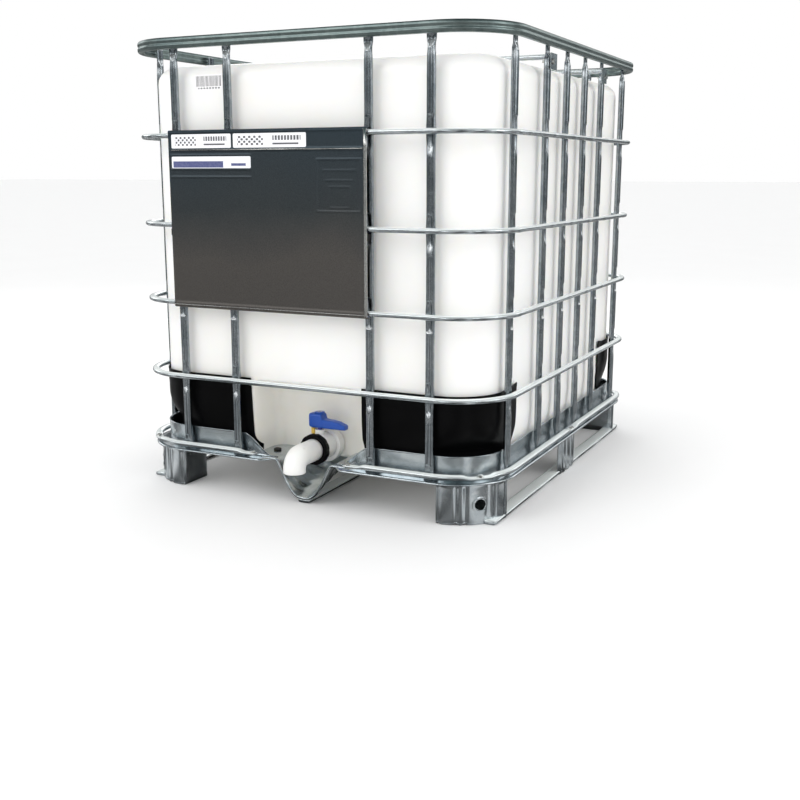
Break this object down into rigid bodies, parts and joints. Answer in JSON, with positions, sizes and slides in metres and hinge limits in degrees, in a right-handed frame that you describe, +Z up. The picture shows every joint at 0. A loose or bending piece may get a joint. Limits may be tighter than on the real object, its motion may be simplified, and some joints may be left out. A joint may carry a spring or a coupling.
{
  "type": "intermediate bulk container",
  "caption": "Caged bulk liquid container: blow-moulded bottle in a galvanised tube cage on a pressed steel pallet, with a screw cap and a lever outlet valve.",
  "frame": {"origin": "centre of the footprint on the ground", "axes": "+Z up, -Y the valve side, +X the right-hand side seen from the valve side"},
  "size_m": [1, 1.24, 1.093],
  "materials": {
    "galvanised_tube": "galvanised, satin with spangle",
    "galvanised_sheet": "pressed galvanised sheet, satin",
    "plate_sheet": "dark smooth sheet, semi-gloss",
    "bottle_plastic": "natural white, slightly translucent",
    "black_plastic": "moulded, fine texture",
    "white_plastic": "smooth moulded",
    "blue_plastic": "smooth moulded",
    "stem_plastic": "smooth moulded",
    "yellow_plastic": "smooth moulded",
    "seal_rubber": "matt",
    "bolt_steel": "zinc plated",
    "label_paper": "printed film"
  },
  "bodies": {
    "container": {"top_rim": "galvanised_tube", "base_ring": "galvanised_tube", "ring_2": "galvanised_tube", "ring_3": "galvanised_tube", "ring_4": "galvanised_tube", "ring_5": "galvanised_tube", "front_uprights": "galvanised_tube", "rear_uprights": "galvanised_tube", "right_uprights": "galvanised_tube", "left_uprights": "galvanised_tube", "cross_bar_front": "galvanised_tube", "cross_bar_rear": "galvanised_tube", "cross_bar_screws": "bolt_steel", "label_plate": "plate_sheet", "plate_clips": "black_plastic", "plate_label_left": "label_paper", "plate_label_right": "label_paper", "plate_label_card": "label_paper", "bottle_label": "label_paper", "guard_front_right": "black_plastic", "guard_rear_right": "black_plastic", "guard_rear_left": "black_plastic", "guard_front_left": "black_plastic", "base_pan": "galvanised_sheet", "base_bolts": "bolt_steel", "pan_plug": "seal_rubber", "foot_front_right": "galvanised_sheet", "foot_rear_right": "galvanised_sheet", "foot_rear_left": "galvanised_sheet", "foot_front_left": "galvanised_sheet", "foot_mid_right": "galvanised_sheet", "foot_mid_left": "galvanised_sheet", "foot_centre": "galvanised_sheet", "foot_rear_centre": "galvanised_sheet", "runner_right": "galvanised_tube", "runner_centre": "galvanised_tube", "runner_left": "galvanised_tube", "bottle": "bottle_plastic", "valve_gasket": "seal_rubber", "valve_body": "white_plastic", "valve_coupling_ring": "black_plastic", "seat_liner": "seal_rubber", "seal_clip": "yellow_plastic"},
    "cap_gasket": {"cap_gasket": "seal_rubber"},
    "fill_cap": {"fill_cap": "black_plastic"},
    "vent_gasket": {"vent_gasket": "seal_rubber"},
    "vent_plug": {"vent_plug": "black_plastic"},
    "valve_handle": {"valve_disc": "white_plastic", "valve_stem": "stem_plastic", "stem_seal": "seal_rubber", "disc_pin": "bolt_steel", "valve_handle": "blue_plastic", "handle_screw": "bolt_steel"},
    "union_nut": {"union_nut": "black_plastic"},
    "outlet_elbow": {"elbow_gasket": "seal_rubber", "outlet_elbow": "white_plastic"}
  },
  "joints": [
    {"name": "cap_lift", "type": "slide", "parent": "container", "child": "cap_gasket", "axis": [0, 0, 1], "range_m": [0, 0.0122]},
    {"name": "cap_turn", "type": "hinge", "parent": "cap_gasket", "child": "fill_cap", "pos_m": [0, 0, 1.054], "axis": [0, 0, 1], "range_deg": [0, 540]},
    {"name": "vent_lift", "type": "slide", "parent": "fill_cap", "child": "vent_gasket", "axis": [0, 0, 1], "range_m": [0, 0.0062]},
    {"name": "vent_turn", "type": "hinge", "parent": "vent_gasket", "child": "vent_plug", "pos_m": [0, 0, 1.066], "axis": [0, 0, 1], "range_deg": [0, 540]},
    {"name": "valve_lever", "type": "hinge", "parent": "container", "child": "valve_handle", "pos_m": [0, -0.49, 0.121], "axis": [0, 0, -1], "range_deg": [0, 90]},
    {"name": "union_turn", "type": "hinge", "parent": "container", "child": "union_nut", "pos_m": [0, -0.517, 0.121], "axis": [0, -1, 0], "continuous": true},
    {"name": "elbow_swivel", "type": "hinge", "parent": "container", "child": "outlet_elbow", "pos_m": [0, -0.519, 0.121], "axis": [0, -1, 0], "range_deg": [-90, 90]}
  ],
  "couplings": [
    {"joint": "cap_lift", "follows": "cap_turn", "m_per_rad": 0.0012732},
    {"joint": "vent_lift", "follows": "vent_turn", "m_per_rad": 0.00063662}
  ]
}
